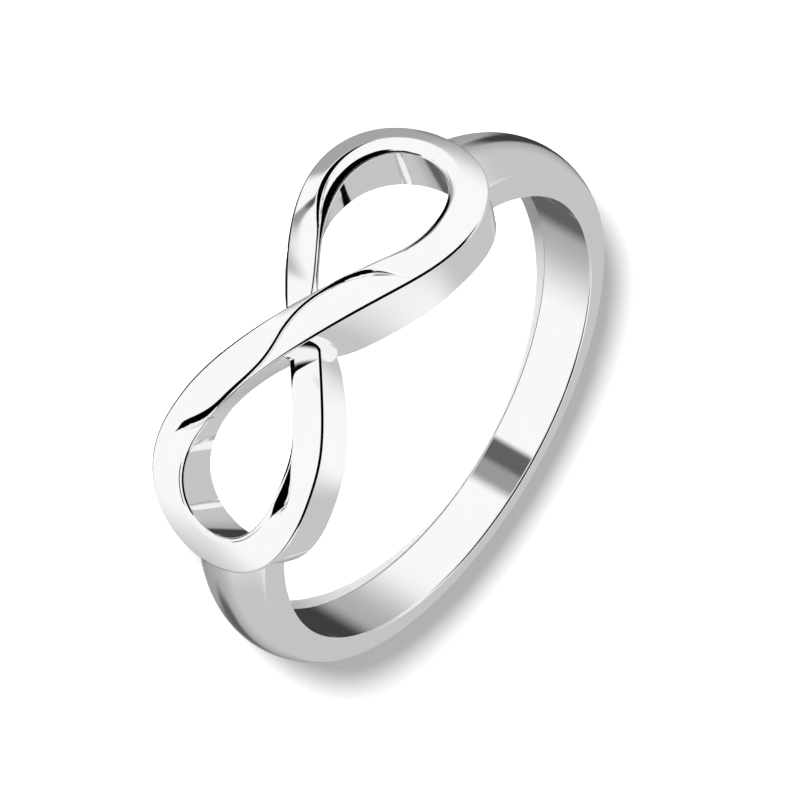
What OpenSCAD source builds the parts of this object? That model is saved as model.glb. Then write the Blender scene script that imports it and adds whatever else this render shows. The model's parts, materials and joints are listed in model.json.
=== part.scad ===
// Infinity ring: a domed band that carries a lying figure-eight knot of one metal strand.
// The ring lies on its side as it would on a table, on the sides of both loops and on its back.
// Millimetres. +Z up, the knot towards -Y, the origin under the middle of the ring's box.

/* [Finger hole] */
// Inside diameter of the ring
bore_d = 17.3; // [16.9:0.1:17.8]

/* [Band] */
// Thickness of the band over its crown at the back
band_back_thick = 0.85; // [0.75:0.01:1]
// How far the outside circle is shifted towards the knot, which thickens the shoulders
band_shift = 0.6; // [0.4:0.01:0.7]
// Width of the band at the back
band_back_width = 1.84; // [1.6:0.02:2.2]
// Angle of each flat side, which widens the band towards the knot
band_side_angle = 2.2; // [1.5:0.1:3]
// Radius of the arc that domes the outside across its width
dome_radius = 2.1; // [2:0.1:4]

/* [Knot] */
// Half length of the strand's middle line, measured round the finger
knot_half_length = 8.52; // [8.4:0.01:8.7]
// How far the strand's middle line swings out to either side
loop_swing = 2.72; // [2.6:0.01:2.9]
// Width of the strand where it passes over
over_width = 1.5; // [1.4:0.01:1.7]
// Width of the strand where it passes under
under_width = 1.24; // [1.1:0.01:1.4]
// Height of the rims above the finger hole where the strand passes over
over_height = 2.1; // [1.9:0.01:2.3]
// Height of the rims half way from there to the tip
over_side_height = 1.88; // [1.7:0.01:2.1]
// Height of the rims at the tip of a loop
tip_height = 2.4; // [2.2:0.01:2.6]
// Height of the rims half way from the tip to where the strand passes under
under_side_height = 1.67; // [1.5:0.01:1.9]
// Height of the rims where the strand passes under
under_height = 1; // [0.8:0.01:1.1]
// Height of the soft ridge above the rims
ridge_height = 0.2; // [0.1:0.01:0.3]
// Bevel along the rims
rim_bevel = 0.1; // [0.05:0.01:0.15]
// How far the foot of the outer walls stands out from their rims at the waist of the knot
waist_flare = 0.46; // [0.3:0.01:0.6]
// How far the foot of the walls of a loop's hole is drawn in under their rims at the waist
waist_tuck = 0.53; // [0.3:0.01:0.6]
// How far the foot of the outer walls is drawn in under their rims at the tips
tip_tuck = 0.61; // [0.4:0.01:0.65]
// How much wider the whole knot is at its foot than at its rims, in percent
foot_spread = 6; // [0:1:10]

/* [Hidden] */
$fn = 96;

bore_r = bore_d / 2;
too_long = 12;                  // longer than any part of the ring is wide
eps = 0.001;                    // step in degrees for a slope

// The strand
// Its middle line is laid out on this radius, where one millimetre round the finger is one millimetre.
layout_r = bore_r + 1.85;
// How the walls lean: 0 points at the finger's axis, 1 keeps both walls of a loop parallel.
wall_parallel = 0.58;
// How far from the crossing, as a sine of t, a side changes from a hole's wall to an outer wall
side_change = 0.1;
// The walls run on past the finger hole by this share of their height, and the hole cuts them off.
wall_overrun = 0.3;
// The strand is cut from two lengths. The under one is a hair slimmer where they lap at the tips.
tip_lap = 8;
lap_inset = 0.02;
stations = 56;                  // sections along each length

// Middle line. t is 0 where the strand passes over, 90 and -90 at the tips, 180 where it passes under.
function along(t) = knot_half_length * (0.908 * sin(t) - 0.034 * sin(3 * t) + 0.058 * sin(5 * t));
function swing(t) = loop_swing * (sin(2 * t) - 0.029 * sin(3 * t) - 0.082 * sin(4 * t) + 0.082 * sin(6 * t));

// Unit vector to the left of the middle line, as [along, swing]
function left_of(t) =
    let(d = [along(t + eps) - along(t), swing(t + eps) - swing(t)])
    [-d[1], d[0]] / norm(d);

// Half width of the strand
function half_width(t) = (over_width + under_width) / 4 + (over_width - under_width) / 4 * cos(t);

// Height of the rims: the cosine series that passes through the five named heights
rim_heights = [over_height, over_side_height, tip_height, under_side_height, under_height];
last = len(rim_heights) - 1;
function end_half(k) = (k == 0 || k == last) ? 0.5 : 1;
function total(list) = [for (v = list) 1] * list;
height_terms = [for (k = [0 : last])
    2 / last * end_half(k)
    * total([for (j = [0 : last]) end_half(j) * rim_heights[j] * cos(k * j * 180 / last)])];
function rim_height(t) = total([for (k = [0 : last]) height_terms[k] * cos(k * t)]);

// Place of the ridge across the strand, -1 at the right rim and 1 at the left
function ridge_place(t) = -0.55 * sin(t) - 0.2 * sin(2 * t);

// A point on the strand: side from -1 to 1 across it, lift above the rims
function on_strand(t, side, lift, inset = 0) =
    let(
        out = (half_width(t) - inset) * side * left_of(t),
        angle = (along(t) + out[0]) / layout_r * 180 / PI,
        r = bore_r + rim_height(t) + lift - inset)
    [r * sin(angle), r * cos(angle), swing(t) + out[1]];

// 1 where a side of the strand faces out of the knot, 0 where it faces a loop's hole
function outer_share(t, side) =
    let(q = side * sin(t) / side_change)
    0.5 + 0.5 * q / sqrt(1 + q * q);

// The foot of the wall below one side of the strand, on the finger hole's own cylinder
function wall_foot(t, side, inset = 0) =
    let(
        outer = outer_share(t, side),
        waist = pow(cos(t), 2),
        flare = waist * (waist_flare * outer - waist_tuck * (1 - outer)) - (1 - waist) * tip_tuck * outer,
        p = on_strand(t, side * (1 + flare / half_width(t)), 0, inset),
        r = norm([p[0], p[1]]),
        x = p[0] / r * (bore_r + wall_parallel * (r - bore_r)))
    [x, sqrt(bore_r * bore_r - x * x), p[2] * (1 + foot_spread / 100)];
function below(top, foot) = top + (1 + wall_overrun) * (foot - top);

// One section: up the right wall, over the two facets and down the left wall
function section(t, inset) =
    let(
        bevel = rim_bevel / half_width(t),
        ridge = ridge_place(t),
        right = on_strand(t, -1, -rim_bevel, inset),
        left = on_strand(t, 1, -rim_bevel, inset),
        crown = 0.72 * ridge_height)
    [
        below(right, wall_foot(t, -1, inset)),
        right,
        on_strand(t, -1 + bevel, 0, inset),
        on_strand(t, (ridge - 1) / 2, crown, inset),
        on_strand(t, ridge, ridge_height, inset),
        on_strand(t, (ridge + 1) / 2, crown, inset),
        on_strand(t, 1 - bevel, 0, inset),
        left,
        below(left, wall_foot(t, 1, inset))
    ];

module strand(from, to, inset = 0) {
    rows = [for (i = [0 : stations]) section(from + (to - from) * i / stations, inset)];
    n = len(rows[0]);
    polyhedron(
        points = [for (row = rows) each row],
        faces = concat(
            [[for (j = [0 : n - 1]) j]],
            [[for (j = [n - 1 : -1 : 0]) stations * n + j]],
            [for (i = [0 : stations - 1], j = [0 : n - 1])
                let(a = i * n + j, b = i * n + (j + 1) % n)
                each [[a, a + n, b], [b, a + n, b + n]]]),
        convexity = 6);
}

// The band
back_crown_r = bore_r + band_back_thick;
crown_r = back_crown_r + band_shift;
// How far through the tip's wall the band's end lies, from the side of the loop's hole
band_end = 0.25;
back_edge_r = back_crown_r - dome_radius + sqrt(pow(dome_radius, 2) - pow(band_back_width / 2, 2));

// How the ring rests
// It tips about the lower edge of the band's back until the outer wall of a loop meets the table.
outer_walls = [for (t = [-90 : 270], side = [-1, 1])
    each [wall_foot(t, side), on_strand(t, side, -rim_bevel)]];
tilt = max([for (p = outer_walls) atan2(-p[2] - band_back_width / 2, p[1] + back_edge_r)]);
knot_front = max([for (t = [-90 : 2 : 270], side = [-1, ridge_place(t), 1])
    let(p = on_strand(t, side, abs(side) == 1 ? -rim_bevel : ridge_height))
    p[1] * cos(tilt) - p[2] * sin(tilt)]);
band_rear = (back_crown_r - dome_radius) * cos(tilt) + dome_radius;
rest_y = (knot_front - band_rear) / 2;
rest_z = back_edge_r * sin(tilt) + band_back_width / 2 * cos(tilt);

// The band's outside, turned round the shifted centre, between its two flat sides
module band_blank() {
    intersection() {
        translate([0, band_shift, 0])
            rotate_extrude()
                intersection() {
                    translate([crown_r - dome_radius, 0]) circle(r = dome_radius);
                    translate([bore_r - 2 * band_shift, -dome_radius]) square(2 * dome_radius);
                }
        flat_sides();
    }
}

// A wedge seen from the side: its faces are the band's two flat sides
module flat_sides() {
    grow = tan(band_side_angle);
    back = band_back_width / 2 - grow * (too_long - back_edge_r);
    front = band_back_width / 2 + grow * (too_long + back_edge_r);
    rotate([90, 0, 90])
        translate([0, 0, -too_long])
            linear_extrude(2 * too_long)
                polygon([[-too_long, -back], [too_long, -front], [too_long, front], [-too_long, back]]);
}

// The stretch under the knot, where there is no band. Its two sides run up inside the tips of the loops.
module knot_stretch() {
    tip = band_end * on_strand(90, 1, 0) + (1 - band_end) * on_strand(90, -1, 0);
    foot = band_end * wall_foot(90, 1) + (1 - band_end) * wall_foot(90, -1);
    low = foot + (foot - tip);
    high = tip + 2 * (tip - foot);
    translate([0, 0, -too_long])
        linear_extrude(2 * too_long)
            polygon([[-low[0], low[1]], [low[0], low[1]], [high[0], high[1]], [-high[0], high[1]]]);
}

module band() {
    difference() {
        band_blank();
        knot_stretch();
    }
}

module knot() {
    strand(-90 - tip_lap, 90 + tip_lap);
    strand(90, 270, lap_inset);
}

module infinity_ring() {
    color([0.82, 0.82, 0.83])
        translate([0, rest_y, rest_z])
            rotate([-tilt, 0, 0])
                rotate(180)
                    difference() {
                        union() {
                            band();
                            knot();
                        }
                        cylinder(r = bore_r, h = 2 * too_long, center = true);
                    }
}

infinity_ring();
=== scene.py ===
"""Infinity ring in polished silver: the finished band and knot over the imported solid, on a pale floor.

Sizes are in metres. Shapes are worked out in the ring's own frame and then laid down on the floor: along is
measured round the finger in the knot's length, outward points from the finger to the knot, and axis runs
along the finger.

The knot is one strand round a closed figure eight. Along it, the angle t is 0 where it passes over,
90 degrees at the far loop's tip, 180 where it passes under and -90 at the near loop's tip. Across it, side
runs from -1 at the right rim to 1 at the left rim.
"""

import json
import math

import bpy
import numpy as np
from bpy.props import FloatProperty, FloatVectorProperty, IntProperty, PointerProperty
from bpy.types import NodeSocket, Operator, Panel, PropertyGroup
from mathutils import Matrix, Vector


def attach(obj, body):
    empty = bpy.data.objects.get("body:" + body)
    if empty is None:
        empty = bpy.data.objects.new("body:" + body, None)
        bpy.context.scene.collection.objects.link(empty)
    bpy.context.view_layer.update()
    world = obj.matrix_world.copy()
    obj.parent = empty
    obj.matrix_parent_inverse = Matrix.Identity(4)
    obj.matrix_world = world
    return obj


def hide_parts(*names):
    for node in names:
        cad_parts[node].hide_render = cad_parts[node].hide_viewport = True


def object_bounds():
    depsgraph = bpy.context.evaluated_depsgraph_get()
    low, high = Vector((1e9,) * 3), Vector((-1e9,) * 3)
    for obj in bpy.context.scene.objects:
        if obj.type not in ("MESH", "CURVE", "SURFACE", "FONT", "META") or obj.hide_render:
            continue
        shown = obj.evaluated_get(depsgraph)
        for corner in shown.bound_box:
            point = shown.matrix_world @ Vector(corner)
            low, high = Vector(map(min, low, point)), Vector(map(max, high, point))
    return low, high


bl_info = {
    "name": "Infinity Ring",
    "version": (1, 0, 0),
    "blender": (4, 5, 0),
    "location": "3D View > Sidebar > Infinity Ring",
    "description": "Builds a polished silver ring with a figure-eight knot",
    "category": "Add Mesh",
}

MM = 0.001

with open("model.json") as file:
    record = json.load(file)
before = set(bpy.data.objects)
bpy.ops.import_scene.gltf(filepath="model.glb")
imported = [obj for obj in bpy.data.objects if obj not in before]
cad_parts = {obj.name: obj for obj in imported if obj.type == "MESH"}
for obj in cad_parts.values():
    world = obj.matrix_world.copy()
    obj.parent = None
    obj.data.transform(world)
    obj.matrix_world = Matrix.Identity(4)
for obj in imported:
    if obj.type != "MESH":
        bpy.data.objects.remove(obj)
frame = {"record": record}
cad_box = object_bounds()
finger_hole = next(m for m in frame["record"]["mounts"] if m["name"] == "finger_hole")


def length(name, default_mm, about, low_mm=0.0, high_mm=20.0):
    """A size that is shown as a length, typed here in millimetres."""
    return FloatProperty(
        name=name,
        description=about,
        default=default_mm * MM,
        min=low_mm * MM,
        max=high_mm * MM,
        unit="LENGTH",
        precision=5,
    )


def angle(name, default_degrees, about):
    """A size that is shown as an angle, typed here in degrees."""
    default = math.radians(default_degrees)
    return FloatProperty(name=name, description=about, default=default, subtype="ANGLE")


class BandSizes(PropertyGroup):
    """What shapes the band that goes round the finger."""

    bore_radius: length("Hole radius", finger_hole["dims"]["r_mm"], "Radius of the finger hole")
    back_thickness: length("Back thickness", 0.85, "Thickness of the band over its crown at the back")
    shift: length("Shift", 0.6, "How far the outside circle is shifted towards the knot")
    back_width: length("Back width", 1.84, "Width of the band at the back")
    side_angle: angle("Side angle", 2.2, "Angle of each flat side, which widens the band towards the knot")
    dome_radius: length("Dome radius", 2.1, "Radius of the arc that domes the outside")
    edge_round: length("Edge rounding", 0.09, "How far the polished edges are rounded back")
    stations: IntProperty(name="Stations", description="Sections round the band", default=360, min=24)


class KnotSizes(PropertyGroup):
    """What shapes the strand of the knot."""

    half_length: length("Half length", 8.52, "Half length of the middle line, measured round the finger")
    swing: length("Swing", 2.72, "How far the middle line swings out to either side")
    over_width: length("Width over", 1.5, "Width of the strand where it passes over")
    under_width: length("Width under", 1.24, "Width of the strand where it passes under")
    over_height: length("Height over", 2.1, "Height of the rims where the strand passes over")
    over_side_height: length("Height beside over", 1.88, "Height of the rims between there and the tip")
    tip_height: length("Height at the tip", 2.4, "Height of the rims at the tip of a loop")
    under_side_height: length("Height beside under", 1.67, "Height of the rims between the tip and under")
    under_height: length("Height under", 1.0, "Height of the rims where the strand passes under")
    ridge_height: length("Ridge height", 0.15, "Height of the soft ridge above the rims")
    ridge_round: length("Ridge rounding", 0.006, "How softly the facets meet in the ridge")
    crease_width: length("Crease width", 0.13, "Half width of the polished crease at its broad places")
    crease_slope: FloatProperty(name="Crease slope", description="Slope of the crease's sides", default=0.8)
    rim_round: length("Rim bevel", 0.075, "How far the polished rims are bevelled back")
    rim_lip: length("Rim lip", 0.11, "How far the rims stand out over the holes beside the broad creases")
    hole_facet: length("Hole facet", 0.38, "Width of the facet along the rim of the far loop's hole")
    facet_slope: FloatProperty(
        name="Facet slope",
        description="Slope of the facet at the far loop's hole below the top",
        default=0.5,
    )
    foot_round: length("Foot rounding", 0.05, "How far the edges at the finger hole are rounded back")
    layout_offset: length("Layout offset", 1.85, "Height over the hole at which the middle line is laid out")
    waist_flare: length("Waist flare", 0.46, "How far the foot of the outer walls stands out at the waist")
    waist_tuck: length("Waist tuck", 0.53, "How far the foot of a hole's walls is drawn in at the waist")
    tip_tuck: length("Tip tuck", 0.61, "How far the foot of the outer walls is drawn in at the tips")
    foot_spread: FloatProperty(
        name="Foot spread",
        description="How much wider the whole knot is at its foot, as a share",
        default=0.06,
    )
    wall_parallel: FloatProperty(
        name="Parallel walls",
        description="0 walls point at the finger's axis, 1 both walls of a loop stand parallel",
        default=0.58,
    )
    side_change: FloatProperty(
        name="Side change",
        description="How far from the crossing a side turns from a hole's wall to an outer wall, as a sine",
        default=0.1,
    )
    band_end: FloatProperty(
        name="Band end",
        description="How far through a tip's wall the band ends, from the side of the loop's hole",
        default=0.25,
    )
    stations: IntProperty(name="Stations", description="Sections round the knot", default=640, min=24)


class SilverFinish(PropertyGroup):
    """The polish and its wear."""

    colour: FloatVectorProperty(
        name="Colour",
        description="Colour of the silver",
        subtype="COLOR",
        size=3,
        default=(0.95, 0.95, 0.955),
    )
    polish: FloatProperty(name="Roughness", description="Roughness of the fresh polish", default=0.035)
    wear: FloatProperty(name="Wear", description="How much the fine wear shows", default=0.3)


class StageSetup(PropertyGroup):
    """Floor, light and camera."""

    floor_colour: FloatVectorProperty(
        name="Floor",
        description="Colour of the floor",
        subtype="COLOR",
        size=3,
        default=(0.9, 0.9, 0.9),
    )
    floor_radius: length("Floor radius", 1500.0, "Radius of the round floor", high_mm=5000.0)
    room_light: FloatProperty(name="Room light", description="Even light from all round", default=0.5)
    lamp_place: FloatVectorProperty(
        name="Lamp place",
        description="Where the soft lamp hangs that throws the shadow",
        subtype="TRANSLATION",
        size=3,
        default=(-0.1, -1.5, 0.58),
    )
    lamp_size: length("Lamp size", 500.0, "Width of the soft lamp", high_mm=5000.0)
    lamp_power: FloatProperty(
        name="Lamp power", description="Power of the soft lamp", default=90.0, unit="POWER"
    )
    fill_height: length("Fill height", 500.0, "Height of the lamp over the finger hole", high_mm=5000.0)
    fill_width: length("Fill width", 18.2, "Width of the circle that the lamp over the finger hole lights")
    fill_power: FloatProperty(
        name="Fill power", description="Power of the lamp over the finger hole", default=12.0, unit="POWER"
    )
    camera_turn: angle("Camera turn", -0.91, "From outward towards the knot's length")
    camera_rise: angle("Camera rise", 27.06, "From outward towards the finger's axis")
    camera_roll: angle("Camera roll", 119.85, "Round the way that the camera looks")
    camera_distance: length("Camera distance", 1250.0, "From the ring to the camera", high_mm=5000.0)
    frame_width: length("Frame width", 27.967, "Width of the picture at the ring's middle", high_mm=200.0)
    middle_right: length("Middle right", 0.366, "The ring's middle, right of the picture's", low_mm=-20.0)
    middle_up: length("Middle up", -0.064, "The ring's middle, above the picture's", low_mm=-20.0)


# Placing

def laid_down(points):
    """Ring coordinates (along, outward, axis) as part coordinates, by the finger hole's mount.

    The knot's length runs along -X, outward is the hole's axis crossed with it, and the mount's point is the
    middle.
    """
    axis = np.array(finger_hole["axis"])
    along = np.array([-1.0, 0.0, 0.0])
    outward = np.cross(axis, along)
    middle = np.array(finger_hole["pos_m"])
    return points @ np.stack([along, outward, axis]) + middle


def turned(vectors):
    """Directions in ring coordinates as directions in part coordinates."""
    return laid_down(vectors) - laid_down(np.zeros(3))


def unit(vectors):
    """The vectors with a length of 1."""
    return vectors / np.linalg.norm(vectors, axis=-1, keepdims=True)


# Surfaces

FULL_ROUND = 2 / 3  # fullness of a bend that makes it a round
RIM_BEVEL = 0.3  # fullness of the bends along the knot's rims, which are flatter


def bend(start, corner, end, count, fullness=FULL_ROUND):
    """A softened corner: the cubic curve from start to end that leaves and arrives in line with corner.

    Its two handles reach a share fullness of the way to corner: two thirds give a round, less gives a bevel
    with soft edges. Returns the points and their tangents, for s from 0 to 1.
    """
    s = np.linspace(0, 1, count)[None, :, None]
    a, d = start[:, None], end[:, None]
    b, c = a + fullness * (corner[:, None] - a), d + fullness * (corner[:, None] - d)
    points = (1 - s) ** 3 * a + 3 * s * (1 - s) ** 2 * b + 3 * s ** 2 * (1 - s) * c + s ** 3 * d
    return points, (1 - s) ** 2 * (b - a) + 2 * s * (1 - s) * (c - b) + s ** 2 * (d - c)


def line(start, end, count):
    """Points between start and end, both left out, with their tangents."""
    s = np.linspace(0, 1, count + 2)[None, 1:-1, None]
    a, b = start[:, None], end[:, None]
    points = a + s * (b - a)
    return points, np.broadcast_to(b - a, points.shape)


def wall_points(start, corner, foot, top_round, foot_round):
    """What one side of a section runs through: the top's end, its corner, the wall's ends and the foot."""
    down = unit(foot - corner)
    return start, corner, corner + top_round * down, foot - foot_round * down, foot


def closed_section(top, right, left, face_ends, face, columns, fullness=FULL_ROUND):
    """A closed outline: over the top, down the right side, along the finger hole's face, up the left side.

    Returns its points and their tangents.
    """
    right_end, left_end = face_ends
    parts = (
        top,
        bend(right[0], right[1], right[2], columns["edge"], fullness),
        line(right[2], right[3], columns["wall"]),
        bend(right[3], right[4], right_end, columns["foot"]),
        face,
        bend(left_end, left[4], left[3], columns["foot"]),
        line(left[3], left[2], columns["wall"]),
        bend(left[2], left[1], left[0], columns["edge"], fullness),
    )
    points, tangents = zip(*parts)
    return np.concatenate(points, 1), np.concatenate(tangents, 1)


def skin(section, stations, step):
    """Points of the sections at the stations, and normals square to the ways along and round the piece."""
    points, tangents = section(stations)
    ahead = section(stations + step)[0] - section(stations - step)[0]
    return points, unit(np.cross(ahead, tangents))


def mesh_of(name, points, normals, closed_along, material):
    """A closed skin over a grid of sections: rows run along the piece and each row is a closed outline."""
    rows, across = points.shape[:2]
    spans = rows if closed_along else rows - 1
    i, j = np.meshgrid(np.arange(spans), np.arange(across), indexing="ij")
    i, j = i.ravel(), j.ravel()
    after, beside = (i + 1) % rows, (j + 1) % across
    corners = ((i, j), (after, j), (after, beside), (i, beside))
    faces = np.stack([row * across + column for row, column in corners], 1).tolist()
    if not closed_along:
        faces += [list(range(across)), list(range(rows * across - 1, (rows - 1) * across - 1, -1))]
    mesh = bpy.data.meshes.new(name)
    mesh.from_pydata(laid_down(points.reshape(-1, 3)).tolist(), [], faces)
    mesh.polygons.foreach_set("use_smooth", [True] * len(mesh.polygons))
    mesh.materials.append(material)
    mesh.normals_split_custom_set_from_vertices(turned(normals.reshape(-1, 3)).tolist())
    mesh.update()
    piece = bpy.data.objects.new(name, mesh)
    bpy.context.scene.collection.objects.link(piece)
    return piece


# Knot

# The middle line as sine series: how often a wave goes round in one turn of t, and its share
ALONG_WAVES = {1: 0.908, 3: -0.034, 5: 0.058}
SWING_WAVES = {2: 1.0, 3: -0.029, 4: -0.082, 6: 0.082}

# A stretch of the strand is four angles t in degrees, rising or falling: where it begins, is full, starts
# to fade and ends.
# Crease: what it is, its stretch, its share of the crease's half width
CREASE_WIDTHS = (
    ("S over the crossing", (-50, -30, 18, 27), 0.6),
    ("line that dives below the crossing", (140, 150, 168, 180), 0.35),
    ("fine line beside the near loop's hole", (-57, -64, -104, -116), 0.22),
    ("upper hook", (6, 21, 21, 31), 0.6),
    ("lower hook", (-22, -43, -43, -51), 1.25),
    ("broad line beside the far loop's hole", (104, 136, 136, 156), 1.0),
    ("wedge beside the near loop's hole", (-118, -126, -126, -148), 1.9),
)
# Crease: what it is, its stretch, the change of its slope, and its bottom's place between its lips, -1 to 1
CREASE_FORMS = (
    ("lower hook", (-62, -36, -36, -6), -0.3, 0.7),
    ("upper hook", (6, 21, 21, 36), 0.3, 0.7),
    ("wedge beside the near loop's hole", (-165, -135, -135, -110), 0.0, -0.7),
    ("broad line beside the far loop's hole", (95, 130, 130, 168), 0.0, -0.7),
)
# Narrow facet at the far loop's hole: where it is, its stretch, its share of the facet's width
FACET_WIDTHS = (
    ("round the hole", (8, 20, 165, 178), 0.35),
    ("on the arm that runs over", (16, 42, 42, 84), 0.6),
    ("on the arm that runs under", (98, 135, 135, 170), 0.3),
)
OFF_RIDGE = (-60, -50, 28, 38)  # where the crease leaves the ridge, for the S and its hooks
WEDGE_SHIFT = (-112, -125, -125, -146), -0.2  # where the wedge leaves the ridge, and by how much
HIGH_RIDGE = (85, 135, 135, 178), 0.3  # where the ridge is higher, and by what share
GENTLE_FACET = (24, 60, 60, 96), 0.4  # where the narrow facet is flatter, and by what share
LIPS = {-1: (4, 45, 45, 100), 1: (-165, -132, -132, -100)}  # where the right and the left rim stand out

S_MIDDLE = -1.8  # t in degrees where the S crosses the middle line
S_REACH = 0.8  # how far the S swings to either side
S_RUN = 6.0  # how long it takes, in degrees of t
# Hooks: t in degrees where one leaves the S, which way and how far it runs, its curve's run and reach
HOOKS = ((12, 1, 20, 13, 0.9), (-22, -1, 32, 25.5, -0.78))

RIDGE_REACH = 0.78  # how far the ridge keeps from the middle line
RIDGE_SOFTNESS = 0.11  # how softly it changes sides, as a sine of t
RIDGE_RETURN = 0.68  # how far it comes back to the middle line round the far loop's tip
RETURN_MIDDLE, RETURN_RUN = 110.0, 37.0  # t in degrees where it does, and over how long

FACET_CROWN = 0.4  # how much the two facets are crowned: 0 is flat
V_SOFTNESS = 0.0316  # how softly the crease's sides meet at its bottom, as a share of its depth
LIP_SOFTNESS = 0.1  # the same at its lips
NARROW_SOFTNESS = 0.012 * MM  # how softly the narrow facet leaves the top
HAIR = 0.015 * MM  # how far one of two faces that share the finger hole's surface lies behind the other
HAIR_RUN = 30.0  # how far the over strand's face keeps that from the crossing, in degrees of t
NO_WIDTH = 1e-7  # a width that is as good as none, but can be divided by

# Columns of the knot's grid, and those of its top: left of the crease, over it, right of it, narrow facet
TOP_COLUMNS = (23, 20, 16, 12)
KNOT_COLUMNS = {"edge": 9, "wall": 8, "foot": 4, "face": 10}
# The crease's columns reach this many of its half widths, and at least this far. So do the narrow facet's.
CREASE_ROOM, CREASE_LEAST = 1.6, 0.05 * MM
FACET_ROOM, FACET_LEAST = 1.3, 0.1 * MM
COLUMN_GAP = 0.03  # least distance between the parts of the top and its edges, as a share of the half width


def within_turn(t):
    """The angle t in degrees, from -180 to 180."""
    return np.degrees(t + np.pi) % 360 - 180


def smooth_step(low, high, value):
    """0 up to low, 1 from high, and 3 u^2 - 2 u^3 between them, u being the share of the way."""
    share = np.clip((value - low) / (high - low), 0, 1)
    return share ** 2 * (3 - 2 * share)


def within(stretch, t):
    """1 inside a stretch of the strand and 0 outside, with a smooth step at either end."""
    begin, full, fade, end = stretch
    turn = within_turn(t)
    return smooth_step(begin, full, turn) * smooth_step(end, fade, turn)


def total(rows, t, column=2):
    """What a column of a table of stretches comes to at t: the sum of its rows, each within its stretch."""
    return sum(row[column] * within(row[1], t) for row in rows)


def soft_positive(value, softness):
    """Nearly the value where it is above 0, nearly 0 below: half of value + sqrt(value^2 + softness^2)."""
    return (value + np.sqrt(value ** 2 + softness ** 2)) / 2


def soft_lower(a, b, softness):
    """Nearly the lower of a and b: their mean less sqrt(half their difference squared + softness^2)."""
    return (a + b) / 2 - np.sqrt(((a - b) / 2) ** 2 + softness ** 2)


def middle_line(k, t):
    """(along, swing) of the strand's middle line, each the sum of its waves' sines."""
    along, swing = [
        sum(share * np.sin(wave * t) for wave, share in waves.items())
        for waves in (ALONG_WAVES, SWING_WAVES)
    ]
    return np.stack([k.half_length * along, k.swing * swing], -1)


def rim_height(k, t):
    """The cosine series in t that passes through the five named heights from over to under."""
    heights = np.array(
        [k.over_height, k.over_side_height, k.tip_height, k.under_side_height, k.under_height]
    )
    last = len(heights) - 1
    halves = np.array([0.5] + [1.0] * (last - 1) + [0.5])
    order = np.arange(last + 1)
    terms = 2 / last * halves * (np.cos(np.outer(order, order) * np.pi / last) @ (halves * heights))
    return np.cos(np.multiply.outer(t, order)) @ terms


def half_width(k, t):
    """Half the strand's width: a cosine between the widths over and under."""
    return (k.over_width + k.under_width) / 4 + (k.over_width - k.under_width) / 4 * np.cos(t)


def ridge_place(t):
    """Place of the ridge across the strand: a tanh of the sine of t, which keeps it near the loops' holes.

    It comes back to the middle round the far loop's tip, by a bell of the fourth power, and crosses from one
    rim to the other in a short S where the strand passes over. Below the crossing it changes sides unseen.
    """
    reach = RIDGE_REACH - RIDGE_RETURN * np.exp(-(((within_turn(t) - RETURN_MIDDLE) / RETURN_RUN) ** 4))
    return -reach * np.tanh(np.sin(t - np.radians(S_MIDDLE)) / RIDGE_SOFTNESS)


def crease_place(t):
    """Place of the polished crease across the strand: along the ridge, apart from the S and the wedge.

    The S is a tanh of the angle from its middle. Beyond either end of it a parabola is added, which carries
    the crease back over the facet as a hook.
    """
    turn = within_turn(t)
    place = -S_REACH * np.tanh((turn - S_MIDDLE) / S_RUN)
    for leaves, way, longest, run, reach in HOOKS:
        place = place + reach * (np.clip(way * (turn - leaves), 0, longest) / run) ** 2
    off_ridge = within(OFF_RIDGE, t)
    stretch, shift = WEDGE_SHIFT
    return off_ridge * place + (1 - off_ridge) * ridge_place(t) + shift * within(stretch, t)


def crease_width(k, t):
    """Half width of the crease: fine along the S, broad in its hooks and beside the two holes' ends."""
    return k.crease_width * total(CREASE_WIDTHS, t) + NO_WIDTH


def crease_form(k, t):
    """Slope of the crease's broader side, and where its bottom lies between its lips, from -1 to 1."""
    slope = k.crease_slope * (1 + total(CREASE_FORMS, t, column=2))
    return slope, total(CREASE_FORMS, t, column=3)


def crease_stretch(k, t):
    """How much broader a slanting crease is when measured across the strand than across itself.

    It is the length of the vector (1, how far the crease moves sideways for each metre along the strand).
    """
    step = 1e-3
    behind, ahead = [crease_place(s) * half_width(k, s) for s in (t - step, t + step)]
    pace = np.linalg.norm(middle_line(k, t + step) - middle_line(k, t - step), axis=-1)
    return np.sqrt(1 + ((ahead - behind) / pace) ** 2)


def hole_facet(k, t):
    """Width of the narrow polished facet along the rim of the far loop's hole, as good as 0 elsewhere."""
    return k.hole_facet * total(FACET_WIDTHS, t) + NO_WIDTH


def rim_lip(k, t, sign):
    """How far a rim stands out over a loop's hole beyond the strand's width."""
    return k.rim_lip * within(LIPS[sign], t)


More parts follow.
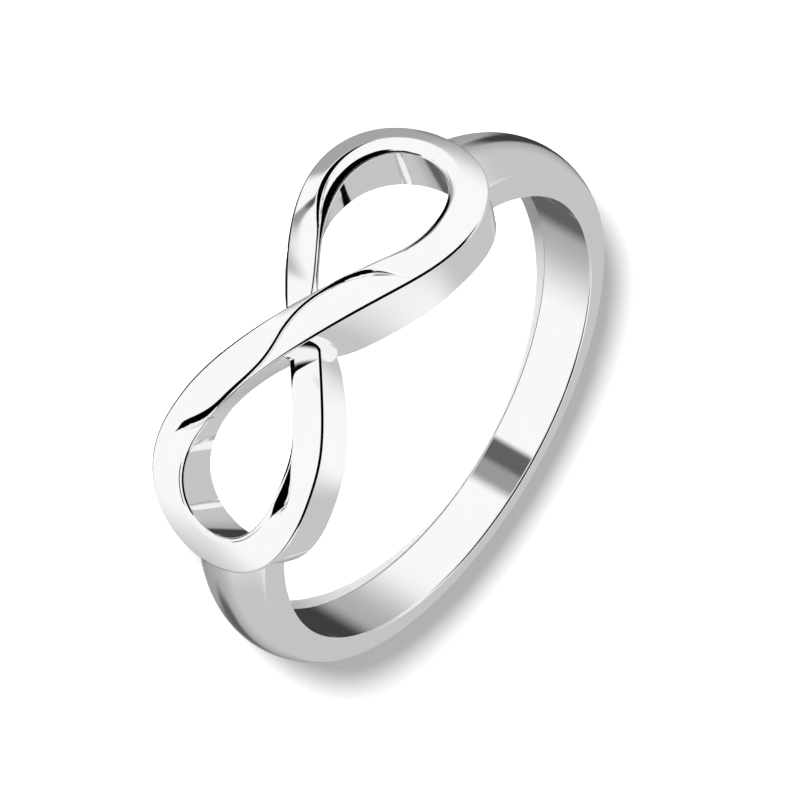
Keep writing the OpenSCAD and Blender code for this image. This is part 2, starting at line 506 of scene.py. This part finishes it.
def top_lift(k, t, side):
    """Height above the rims: two crowned facets that climb from the rims and meet in a soft ridge.

    Each facet climbs by (1 + crown) u - crown u^2 of the ridge's height, u being the share of the way from
    its rim to the ridge, and runs straight on past it. The lower of the two counts, rounded where they meet.
    The ridge is lower where it runs near a rim. The crease is a V cut below that, with rounded lips and its
    bottom nearer one of them, and the narrow facet falls evenly towards the right rim.
    """
    ridge = ridge_place(t)
    stretch, rise = HIGH_RIDGE
    height = k.ridge_height * (1 - np.abs(ridge)) * (1 + rise * within(stretch, t))

    def climb(u):
        """Height of a facet, at the share u of the way from its rim to the ridge."""
        crowned = (1 + FACET_CROWN) * u - FACET_CROWN * u ** 2
        return height * np.where(u < 1, crowned, 1 + (1 - FACET_CROWN) * (u - 1))

    right, left = climb((side + 1) / (ridge + 1)), climb((1 - side) / (1 - ridge))
    apart = np.abs(right - left) / k.ridge_round
    facets = np.minimum(right, left) - k.ridge_round * np.log1p(np.exp(-apart))

    wide = crease_width(k, t)
    off = (side - crease_place(t)) * half_width(k, t) / crease_stretch(k, t) / wide
    slope, skew = crease_form(k, t)
    inside = soft_lower((1 + off) / (1 + skew), (1 - off) / (1 - skew), V_SOFTNESS)
    crease = slope * (1 + np.abs(skew)) * wide * soft_positive(inside, LIP_SOFTNESS)

    past = hole_facet(k, t) - (1 + side) * half_width(k, t) - rim_lip(k, t, -1)
    stretch, flatter = GENTLE_FACET
    narrow = k.facet_slope * (1 - flatter * within(stretch, t)) * soft_positive(past, NARROW_SOFTNESS)
    return facets - crease - narrow


def on_strand(k, bore_r, t, side, lift):
    """A point at a share side of the half width to the left of the middle line, lift above the rims.

    The middle line is laid round the finger at the layout radius, so along there is an angle.
    """
    step = 1e-5
    here = middle_line(k, t)
    ahead = unit(middle_line(k, t + step) - middle_line(k, t - step))
    out = half_width(k, t) * side
    turn = (here[..., 0] - ahead[..., 1] * out) / (bore_r + k.layout_offset)
    r = bore_r + rim_height(k, t) + lift
    return np.stack([r * np.sin(turn), r * np.cos(turn), here[..., 1] + ahead[..., 0] * out], -1)


def hole_radius(bore_r, t):
    """Radius of the strand's face in the finger hole.

    It is a hair larger where the strand runs over, by a bell of the fourth power, so that the under strand's
    face shows at the crossing.
    """
    return bore_r + HAIR * np.exp(-((within_turn(t) / HAIR_RUN) ** 4))


def wall_foot(k, bore_r, t, side):
    """Where the wall below one side meets the finger hole: between radial and parallel.

    At the waist the outer walls flare out and the walls of the loops' holes are drawn in under their rims,
    and at the tips the outer walls are drawn in. outer is a smooth step, 1 on a side that faces outwards.
    """
    q = side * np.sin(t) / k.side_change
    outer = 0.5 + 0.5 * q / np.sqrt(1 + q ** 2)
    waist = np.cos(t) ** 2
    at_waist, at_tip = k.waist_flare * outer - k.waist_tuck * (1 - outer), -k.tip_tuck * outer
    flare = waist * at_waist + (1 - waist) * at_tip
    rim = on_strand(k, bore_r, t, side * (1 + flare / half_width(k, t)), 0 * t)
    r = np.hypot(rim[..., 0], rim[..., 1])
    x = rim[..., 0] / r * (bore_r + k.wall_parallel * (r - bore_r))
    y = np.sqrt(hole_radius(bore_r, t) ** 2 - x ** 2)
    return np.stack([x, y, rim[..., 2] * (1 + k.foot_spread)], -1)


def top_columns(k, t):
    """Where the top's columns lie across the strand, from the left rim's bevel to the right one's.

    They are evenly spaced in each of four parts: left of the crease, over it, right of it and on the narrow
    facet. The crease's and the facet's parts reach a little past them and keep off the rims.
    """
    half = half_width(k, t)
    far_left, far_right = [sign * (1 + (rim_lip(k, t, sign) - k.rim_round) / half) for sign in (1, -1)]
    middle = np.clip(crease_place(t), far_right + 2 * COLUMN_GAP, far_left - 2 * COLUMN_GAP)
    reach = np.maximum(CREASE_ROOM * crease_width(k, t) * crease_stretch(k, t), CREASE_LEAST) / half
    crease_left = np.minimum(middle + reach, far_left - COLUMN_GAP)
    crease_right = np.maximum(middle - reach, far_right + COLUMN_GAP)
    narrow = far_right + np.maximum(FACET_ROOM * hole_facet(k, t), FACET_LEAST) / half
    narrow = np.minimum(narrow, crease_right - COLUMN_GAP / 3)
    edges = (far_left, crease_left, crease_right, narrow, far_right)
    parts = [np.linspace(a, b, count, axis=1)[:, 1:] for a, b, count in zip(edges, edges[1:], TOP_COLUMNS)]
    return np.concatenate([far_left[:, None], *parts], 1)


def knot_surface(k, bore_r):
    """The strand as closed sections round the figure eight. Every corner of a section is a small bend."""

    def section(t):
        """The outlines across the strand at the angles t, as points and tangents."""
        side = top_columns(k, t)
        t_across = np.broadcast_to(t[:, None], side.shape)

        def top(side):
            return on_strand(k, bore_r, t_across, side, top_lift(k, t_across, side))

        step = 1e-4
        points, tangents = top(side), top(side - step) - top(side + step)
        walls = []
        for end, sign in ((-1, -1), (0, 1)):
            corner = points[:, end] + k.rim_round * unit(-sign * tangents[:, end])
            foot = wall_foot(k, bore_r, t, sign + 0 * t)
            walls.append(wall_points(points[:, end], corner, foot, k.rim_round, k.foot_round))
        right, left = walls
        across = unit(left[-1] - right[-1])
        face_ends = right[-1] + k.foot_round * across, left[-1] - k.foot_round * across
        flat, tangent = line(*face_ends, KNOT_COLUMNS["face"])
        r = np.linalg.norm(flat[..., :2], axis=-1, keepdims=True)
        round_face = flat[..., :2] / r * hole_radius(bore_r, t)[:, None, None]
        face = np.concatenate([round_face, flat[..., 2:]], -1), tangent
        whole_top = points[:, 1:-1], tangents[:, 1:-1]
        return closed_section(whole_top, right, left, face_ends, face, KNOT_COLUMNS, RIM_BEVEL)

    return skin(section, np.linspace(0, 2 * np.pi, k.stations, endpoint=False), step=1e-4)


# Band

BAND_COLUMNS = {"dome": 33, "edge": 7, "wall": 3, "foot": 7, "face": 6}
# The band's face in the finger hole lies a hair behind the strand's up to the first of these shares of its
# length from either end, and is back on the hole's surface at the second.
SUNK_SHARES = (0.04, 0.065)
ROUNDS = 4  # how often a radius and the place that it depends on are worked out in turn until they agree


def outside_radius(b, turn, axis):
    """Distance from the finger's axis to the domed outside, in the half plane at this angle from outward.

    The dome is an arc turned round a centre that is shifted outward, so this is a ray meeting that circle.
    """
    crown = b.bore_radius + b.back_thickness + b.shift
    circle = crown - b.dome_radius + np.sqrt(b.dome_radius ** 2 - axis ** 2)
    return b.shift * np.cos(turn) + np.sqrt(circle ** 2 - (b.shift * np.sin(turn)) ** 2)


def side_axis(b, turn, r):
    """Where a flat side lies along the finger's axis: a plane that opens towards the knot."""
    crown = b.bore_radius + b.back_thickness
    back_edge = crown - b.dome_radius + np.sqrt(b.dome_radius ** 2 - (b.back_width / 2) ** 2)
    return b.back_width / 2 + np.tan(b.side_angle) * (r * np.cos(turn) + back_edge)


def band_surface(b, k):
    """The band as closed sections round the finger, from inside one loop's tip to inside the other's.

    A section runs over the domed outside, down one flat side, across the finger hole and up the other side.
    Each point of a section ends on a slanted plane inside the tip's wall.
    """
    sides, tips = np.array([-1.0, 1.0]), np.full(2, np.pi / 2)
    shares = np.array([1 - k.band_end, k.band_end])
    tip = shares @ on_strand(k, b.bore_radius, tips, sides, np.zeros(2))
    foot = shares @ wall_foot(k, b.bore_radius, tips, sides)
    lean = math.atan2(tip[0] - foot[0], tip[1] - foot[1])
    offset = foot[0] * math.cos(lean) - foot[1] * math.sin(lean)

    stations = np.linspace(0, 1, b.stations)
    behind, level = SUNK_SHARES
    sunk = HAIR * (smooth_step(level, behind, stations) + smooth_step(1 - level, 1 - behind, stations))

    def end_turn(r):
        """Angle from outward to the tip's plane at this distance from the finger's axis."""
        return lean + np.arcsin(offset / r)

    def at(share, r_of, axis_of):
        """A point of a section line: its angle runs from one tip's plane round the back to the other's."""
        first = end_turn(b.bore_radius) * np.ones_like(share)
        for _ in range(ROUNDS):
            turn = first + share * (2 * np.pi - 2 * first)
            first = end_turn(r_of(turn))
        r, axis = r_of(turn), axis_of(turn)
        return np.stack([r * np.sin(turn), r * np.cos(turn), axis], -1)

    def corner_axis(turn):
        """Where the domed outside meets a flat side, along the finger's axis."""
        axis = b.back_width / 2 + 0 * turn
        for _ in range(ROUNDS):
            axis = side_axis(b, turn, outside_radius(b, turn, axis))
        return axis

    def dome(share, part):
        """A point of the domed outside, part of the way from its crown to where its edge is rounded."""

        def axis_of(turn):
            return part * (corner_axis(turn) - b.edge_round)

        return at(share, lambda turn: outside_radius(b, turn, axis_of(turn)), axis_of)

    def section(share):
        """The outlines across the band at these shares of its length, as points and tangents."""
        parts = np.linspace(1, -1, BAND_COLUMNS["dome"])
        step = 1e-3
        points = np.stack([dome(share, part) for part in parts], 1)
        tangents = np.stack([dome(share, part - step) - dome(share, part + step) for part in parts], 1)
        walls = []
        for end, sign in ((-1, -1), (0, 1)):
            heading = unit(-sign * tangents[:, end])
            corner = points[:, end] + heading * b.edge_round / np.abs(heading[:, 2:])
            foot = at(
                share,
                lambda turn: b.bore_radius + sunk,
                lambda turn: sign * side_axis(b, turn, b.bore_radius),
            )
            walls.append(wall_points(points[:, end], corner, foot, b.edge_round, b.edge_round))
        right, left = walls
        inward = np.array([0, 0, b.edge_round])
        face_ends = right[-1] + inward, left[-1] - inward
        face = line(*face_ends, BAND_COLUMNS["face"])
        whole_dome = points[:, 1:-1], tangents[:, 1:-1]
        return closed_section(whole_dome, right, left, face_ends, face, BAND_COLUMNS)

    return skin(section, stations, step=1e-5)


# Finish

HAZE_SCALE, HAZE_DETAIL = 350.0, 3.0  # soft haze of handling
HAIRLINE_SCALE, HAIRLINE_DETAIL = 300.0, 2.0  # fine scratches of polishing
HAIRLINE_TURN, HAIRLINE_STRETCH = (0.4, 0.3, 0.7), (1.0, 30.0, 30.0)  # which way they run, and how slender
HAIRLINE_RANGE = (0.66, 0.8)  # only the tops of the noise are scratches
HAZE_ROUGHNESS, HAIRLINE_ROUGHNESS = 0.08, 0.12
HAZE_TINT = (0.93, 0.93, 0.93, 1.0)
BUMP_STRENGTH, BUMP_DISTANCE = 0.02, 0.02 * MM


def socket(group, name, way, kind, default=None):
    """A named input or output of a node group."""
    item = group.interface.new_socket(name=name, in_out=way, socket_type=kind)
    if default is not None:
        item.default_value = default


def feed(tree, value, target):
    """Links an output to an input, or sets the input to a number."""
    if isinstance(value, NodeSocket):
        tree.links.new(value, target)
    else:
        target.default_value = value


def math_node(tree, operation, *values):
    """The output of a Math node that is fed with outputs and numbers."""
    node = tree.nodes.new("ShaderNodeMath")
    node.operation = operation
    for index, value in enumerate(values):
        feed(tree, value, node.inputs[index])
    return node.outputs[0]


def noise(tree, vector, scale, detail):
    """The value of a noise texture, from 0 to 1."""
    node = tree.nodes.new("ShaderNodeTexNoise")
    feed(tree, vector, node.inputs["Vector"])
    node.inputs["Scale"].default_value = scale
    node.inputs["Detail"].default_value = detail
    return node.outputs["Fac"]


def wear_group():
    """Fine wear of a hand-polished metal: hairlines and a soft haze, as a colour, a roughness and a height.

    The haze is a cloudy noise that tints the colour. The hairlines are the tops of a noise that is drawn out
    one way. Both add to the roughness, and the hairlines make the height.
    """
    group = bpy.data.node_groups.new("fine_wear", "ShaderNodeTree")
    socket(group, "Vector", "INPUT", "NodeSocketVector")
    socket(group, "Clean Color", "INPUT", "NodeSocketColor")
    socket(group, "Clean Roughness", "INPUT", "NodeSocketFloat", 0.05)
    socket(group, "Amount", "INPUT", "NodeSocketFloat", 0.3)
    socket(group, "Color", "OUTPUT", "NodeSocketColor")
    socket(group, "Roughness", "OUTPUT", "NodeSocketFloat")
    socket(group, "Height", "OUTPUT", "NodeSocketFloat")
    given, put = group.nodes.new("NodeGroupInput").outputs, group.nodes.new("NodeGroupOutput").inputs

    haze = noise(group, given["Vector"], HAZE_SCALE, HAZE_DETAIL)
    stretch = group.nodes.new("ShaderNodeMapping")
    feed(group, given["Vector"], stretch.inputs["Vector"])
    stretch.inputs["Rotation"].default_value = HAIRLINE_TURN
    stretch.inputs["Scale"].default_value = HAIRLINE_STRETCH
    tops = group.nodes.new("ShaderNodeMapRange")
    lines = noise(group, stretch.outputs["Vector"], HAIRLINE_SCALE, HAIRLINE_DETAIL)
    feed(group, lines, tops.inputs["Value"])
    tops.inputs["From Min"].default_value, tops.inputs["From Max"].default_value = HAIRLINE_RANGE

    hairlines = math_node(group, "MULTIPLY", tops.outputs["Result"], given["Amount"])
    cloud = math_node(group, "MULTIPLY", haze, given["Amount"])
    rough = math_node(group, "MULTIPLY_ADD", cloud, HAZE_ROUGHNESS, given["Clean Roughness"])
    feed(group, math_node(group, "MULTIPLY_ADD", hairlines, HAIRLINE_ROUGHNESS, rough), put["Roughness"])
    feed(group, hairlines, put["Height"])
    tint = group.nodes.new("ShaderNodeMix")
    tint.data_type = "RGBA"
    tint.blend_type = "MULTIPLY"
    feed(group, cloud, tint.inputs["Factor"])
    feed(group, given["Clean Color"], tint.inputs["A"])
    tint.inputs["B"].default_value = HAZE_TINT
    feed(group, tint.outputs["Result"], put["Color"])
    return group


def polished_silver(finish):
    """Mirror polished silver, made once: a metal with fine wear in its colour, roughness and normal."""
    name = "mirror_silver"
    if name in bpy.data.materials:
        return bpy.data.materials[name]
    material = bpy.data.materials.new(name)
    material.use_nodes = True
    tree = material.node_tree
    shader = tree.nodes["Principled BSDF"]
    shader.inputs["Metallic"].default_value = 1.0
    wear = tree.nodes.new("ShaderNodeGroup")
    wear.node_tree = wear_group()
    wear.inputs["Clean Color"].default_value = (*finish.colour, 1.0)
    wear.inputs["Clean Roughness"].default_value = finish.polish
    wear.inputs["Amount"].default_value = finish.wear
    feed(tree, tree.nodes.new("ShaderNodeTexCoord").outputs["Object"], wear.inputs["Vector"])
    bump = tree.nodes.new("ShaderNodeBump")
    bump.inputs["Strength"].default_value = BUMP_STRENGTH
    bump.inputs["Distance"].default_value = BUMP_DISTANCE
    feed(tree, wear.outputs["Height"], bump.inputs["Height"])
    feed(tree, wear.outputs["Color"], shader.inputs["Base Color"])
    feed(tree, wear.outputs["Roughness"], shader.inputs["Roughness"])
    feed(tree, bump.outputs["Normal"], shader.inputs["Normal"])
    return material


class RING_OT_knot(Operator):
    """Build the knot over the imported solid"""

    bl_idname = "infinity_ring.knot"
    bl_label = "Build knot"

    def execute(self, context):
        scene = context.scene
        points, normals = knot_surface(scene.ring_knot, scene.ring_band.bore_radius)
        knot = mesh_of("knot", points, normals, True, polished_silver(scene.ring_silver))
        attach(knot, "root")
        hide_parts("infinity_ring")
        return {"FINISHED"}


class RING_OT_band(Operator):
    """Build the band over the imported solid"""

    bl_idname = "infinity_ring.band"
    bl_label = "Build band"

    def execute(self, context):
        scene = context.scene
        points, normals = band_surface(scene.ring_band, scene.ring_knot)
        band = mesh_of("band", points, normals, False, polished_silver(scene.ring_silver))
        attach(band, "root")
        return {"FINISHED"}


# Stage

STUDIO_LIGHT = 1.0  # brightness of the studio where no patch is
# What the metal mirrors, each patch over the ones before it: what it is, its azimuth (0 is in front of the
# ring, at -Y, and 90 at +X) and elevation, its half width and half height in degrees, its softness and its
# brightness
PATCHES = (
    ("grey room behind", 180, -12, 85, 46, 0.25, 0.58),
    ("grey table behind", 180, -40, 72, 18, 0.6, 0.36),
    ("grey table at the left", -74, -60, 54, 32, 0.15, 0.40),
    ("grey card in front", -6.5, -18.8, 7.5, 2.2, 0.4, 0.33),
    ("dark card in front", 1, -19.3, 5, 2.6, 0.35, 0.12),
    ("dark card at the right", 72, 16, 27, 20, 0.12, 0.0),
    ("dark ceiling in front", 0, 55, 95, 34, 0.1, 0.0),
    ("dark ceiling", 0, 90, 400, 32, 0.1, 0.0),
    ("dark card behind", -150, -34, 28, 5, 0.4, 0.05),
    ("dark card, right back", 147, -34, 18, 5, 0.5, 0.12),
    ("dark table behind", -170, -66, 60, 19, 0.1, 0.03),
    ("dark table, right front", 50, -72, 75, 23, 0.1, 0.0),
    ("dark table, left front", -84, -76, 42, 20, 0.1, 0.0),
    ("dark below", 0, -90, 400, 32, 0.1, 0.0),
)
PATCH_INPUTS = ("Across", "Up", "Half Across", "Half Up", "Softness")

FLOOR_ROUGHNESS, FLOOR_SIDES = 0.9, 96
FILL_BLEND, FILL_SOFTNESS = 0.06, 0.5 * MM  # how soft the lit circle's edge is, and the lamp's own size
SENSOR_WIDTH = 36.0  # millimetres, as the camera's lens is
CLIP_RANGE = (0.05, 20.0)  # the nearest and the farthest that the camera sees


def patch_group():
    """How much of a patch of light or dark is seen in a direction: a rounded box in azimuth and elevation.

    The distance from its middle is the fourth root of the sum of the fourth powers of the two offsets, each
    as a share of its half size. The patch is full up to 1 less its softness, and gone from 1 plus it.
    """
    group = bpy.data.node_groups.new("studio_patch", "ShaderNodeTree")
    for name in ("Azimuth", "Elevation", *PATCH_INPUTS):
        socket(group, name, "INPUT", "NodeSocketFloat", 1.0)
    socket(group, "Mask", "OUTPUT", "NodeSocketFloat")
    given, put = group.nodes.new("NodeGroupInput").outputs, group.nodes.new("NodeGroupOutput").inputs
    turn = math_node(group, "SUBTRACT", given["Azimuth"], given["Across"])
    turn = math_node(group, "WRAP", turn, 180.0, -180.0)
    rise = math_node(group, "SUBTRACT", given["Elevation"], given["Up"])
    fourths = []
    for offset, half in ((turn, given["Half Across"]), (rise, given["Half Up"])):
        share = math_node(group, "ABSOLUTE", math_node(group, "DIVIDE", offset, half))
        fourths.append(math_node(group, "POWER", share, 4.0))
    fade = group.nodes.new("ShaderNodeMapRange")
    fade.interpolation_type = "SMOOTHSTEP"
    feed(group, math_node(group, "POWER", math_node(group, "ADD", *fourths), 0.25), fade.inputs["Value"])
    feed(group, math_node(group, "SUBTRACT", 1.0, given["Softness"]), fade.inputs["From Min"])
    feed(group, math_node(group, "ADD", 1.0, given["Softness"]), fade.inputs["From Max"])
    fade.inputs["To Min"].default_value, fade.inputs["To Max"].default_value = 1.0, 0.0
    feed(group, fade.outputs["Result"], put["Mask"])
    return group


def studio(room_light):
    """The studio round the ring: patches by direction in what the metal mirrors, even light otherwise."""
    world = bpy.data.worlds.new("studio")
    world.use_nodes = True
    tree = world.node_tree
    tree.nodes.clear()
    direction = tree.nodes.new("ShaderNodeSeparateXYZ")
    feed(tree, tree.nodes.new("ShaderNodeTexCoord").outputs["Generated"], direction.inputs[0])
    x, y, z = direction.outputs
    front = math_node(tree, "MULTIPLY", y, -1.0)
    azimuth = math_node(tree, "DEGREES", math_node(tree, "ARCTAN2", x, front))
    elevation = math_node(tree, "DEGREES", math_node(tree, "ARCSINE", z))
    group = patch_group()
    seen = STUDIO_LIGHT
    for name, *values, brightness in PATCHES:
        patch = tree.nodes.new("ShaderNodeGroup")
        patch.node_tree = group
        patch.label = name
        for key, value in zip(("Azimuth", "Elevation", *PATCH_INPUTS), (azimuth, elevation, *values)):
            feed(tree, value, patch.inputs[key])
        mix = tree.nodes.new("ShaderNodeMix")
        feed(tree, patch.outputs["Mask"], mix.inputs["Factor"])
        feed(tree, seen, mix.inputs["A"])
        mix.inputs["B"].default_value = brightness
        seen = mix.outputs["Result"]
    light = tree.nodes.new("ShaderNodeMix")
    feed(tree, tree.nodes.new("ShaderNodeLightPath").outputs["Is Glossy Ray"], light.inputs["Factor"])
    light.inputs["A"].default_value = room_light
    feed(tree, seen, light.inputs["B"])
    background = tree.nodes.new("ShaderNodeBackground")
    background.inputs["Color"].default_value = (1.0, 1.0, 1.0, 1.0)
    feed(tree, light.outputs["Result"], background.inputs["Strength"])
    feed(tree, background.outputs[0], tree.nodes.new("ShaderNodeOutputWorld").inputs["Surface"])
    return world


def lay_floor(radius, colour):
    """A round sheet of pale paper under the ring, which the metal doesn't mirror."""
    material = bpy.data.materials.new("floor_paper")
    material.use_nodes = True
    shader = material.node_tree.nodes["Principled BSDF"]
    shader.inputs["Base Color"].default_value = (*colour, 1.0)
    shader.inputs["Roughness"].default_value = FLOOR_ROUGHNESS
    turns = np.linspace(0, 2 * np.pi, FLOOR_SIDES, endpoint=False)
    level = np.full(FLOOR_SIDES, cad_box[0].z)
    rim = np.stack([radius * np.cos(turns), radius * np.sin(turns), level], 1)
    mesh = bpy.data.meshes.new("floor")
    mesh.from_pydata(rim.tolist(), [], [list(range(FLOOR_SIDES))])
    mesh.materials.append(material)
    floor = bpy.data.objects.new("floor", mesh)
    floor.visible_glossy = False
    bpy.context.scene.collection.objects.link(floor)


def hang_lamp(name, kind, place, target, power):
    """A lamp that shines from place to target, which the metal doesn't mirror. Returns its settings."""
    data = bpy.data.lights.new(name, kind)
    data.energy = power
    lamp = bpy.data.objects.new(name, data)
    aim = (Vector(target) - Vector(place)).to_track_quat("-Z", "Y")
    lamp.matrix_world = Matrix.Translation(place) @ aim.to_matrix().to_4x4()
    lamp.visible_glossy = False
    bpy.context.scene.collection.objects.link(lamp)
    return data


def camera_axes(setup):
    """The camera's right, up and back directions in part coordinates.

    Back points from the ring to the camera, turned and raised from outward. Level and upright are square to
    it, level also to the finger's axis, and right and up are those two rolled round it.
    """
    turn, rise, roll = setup.camera_turn, setup.camera_rise, setup.camera_roll
    back = np.array([math.sin(turn) * math.cos(rise), math.cos(turn) * math.cos(rise), math.sin(rise)])
    level = unit(np.cross((0, 0, 1), back))
    upright = np.cross(back, level)
    right = math.cos(roll) * level + math.sin(roll) * upright
    up = math.cos(roll) * upright - math.sin(roll) * level
    return turned(right), turned(up), turned(back)


def place_camera(setup):
    """The camera, with the ring's middle a little off the middle of its picture. Returns its object."""
    right, up, back = camera_axes(setup)
    middle = laid_down(np.zeros(3)) - setup.middle_right * right - setup.middle_up * up
    data = bpy.data.cameras.new("camera")
    data.sensor_width = SENSOR_WIDTH
    data.lens = SENSOR_WIDTH * setup.camera_distance / setup.frame_width
    data.clip_start, data.clip_end = CLIP_RANGE
    camera = bpy.data.objects.new("camera", data)
    turn = Matrix([list(right), list(up), list(back)]).transposed().to_4x4()
    camera.matrix_world = Matrix.Translation(middle + setup.camera_distance * back) @ turn
    bpy.context.scene.collection.objects.link(camera)
    return camera


class RING_OT_stage(Operator):
    """Set up the floor, the light and the camera"""

    bl_idname = "infinity_ring.stage"
    bl_label = "Set the stage"

    def execute(self, context):
        scene, setup = context.scene, context.scene.ring_stage
        lay_floor(setup.floor_radius, setup.floor_colour)
        soft = hang_lamp("soft_lamp", "AREA", setup.lamp_place, (0, 0, 0), setup.lamp_power)
        soft.shape = "DISK"
        soft.size = setup.lamp_size
        hole_y = finger_hole["pos_m"][1]
        over_hole = (0, hole_y, setup.fill_height)
        fill = hang_lamp("hole_lamp", "SPOT", over_hole, (0, hole_y, 0), setup.fill_power)
        fill.spot_size = 2 * math.atan(setup.fill_width / 2 / setup.fill_height)
        fill.spot_blend = FILL_BLEND
        fill.shadow_soft_size = FILL_SOFTNESS
        scene.world = studio(setup.room_light)
        scene.view_settings.view_transform = "Standard"
        scene.camera = place_camera(setup)
        return {"FINISHED"}


class RING_PT_panel(Panel):
    """The ring's sizes, its finish and the stage, in the sidebar"""

    bl_label = "Infinity Ring"
    bl_idname = "RING_PT_panel"
    bl_space_type = "VIEW_3D"
    bl_region_type = "UI"
    bl_category = "Infinity Ring"

    def draw(self, context):
        for name in SETTINGS:
            group = getattr(context.scene, name)
            box = self.layout.box()
            for size in group.__annotations__:
                box.prop(group, size)
        for operator in OPERATORS:
            self.layout.operator(operator.bl_idname)


SETTINGS = {
    "ring_band": BandSizes,
    "ring_knot": KnotSizes,
    "ring_silver": SilverFinish,
    "ring_stage": StageSetup,
}
OPERATORS = (RING_OT_knot, RING_OT_band, RING_OT_stage)
CLASSES = (*SETTINGS.values(), *OPERATORS, RING_PT_panel)


def register():
    for cls in CLASSES:
        bpy.utils.register_class(cls)
    for name, group in SETTINGS.items():
        setattr(bpy.types.Scene, name, PointerProperty(type=group))


def unregister():
    for name in SETTINGS:
        delattr(bpy.types.Scene, name)
    for cls in reversed(CLASSES):
        bpy.utils.unregister_class(cls)


def main():
    """Builds the ring and its stage."""
    register()
    bpy.ops.infinity_ring.knot()
    bpy.ops.infinity_ring.band()
    bpy.ops.infinity_ring.stage()


if __name__ == "__main__":
    main()
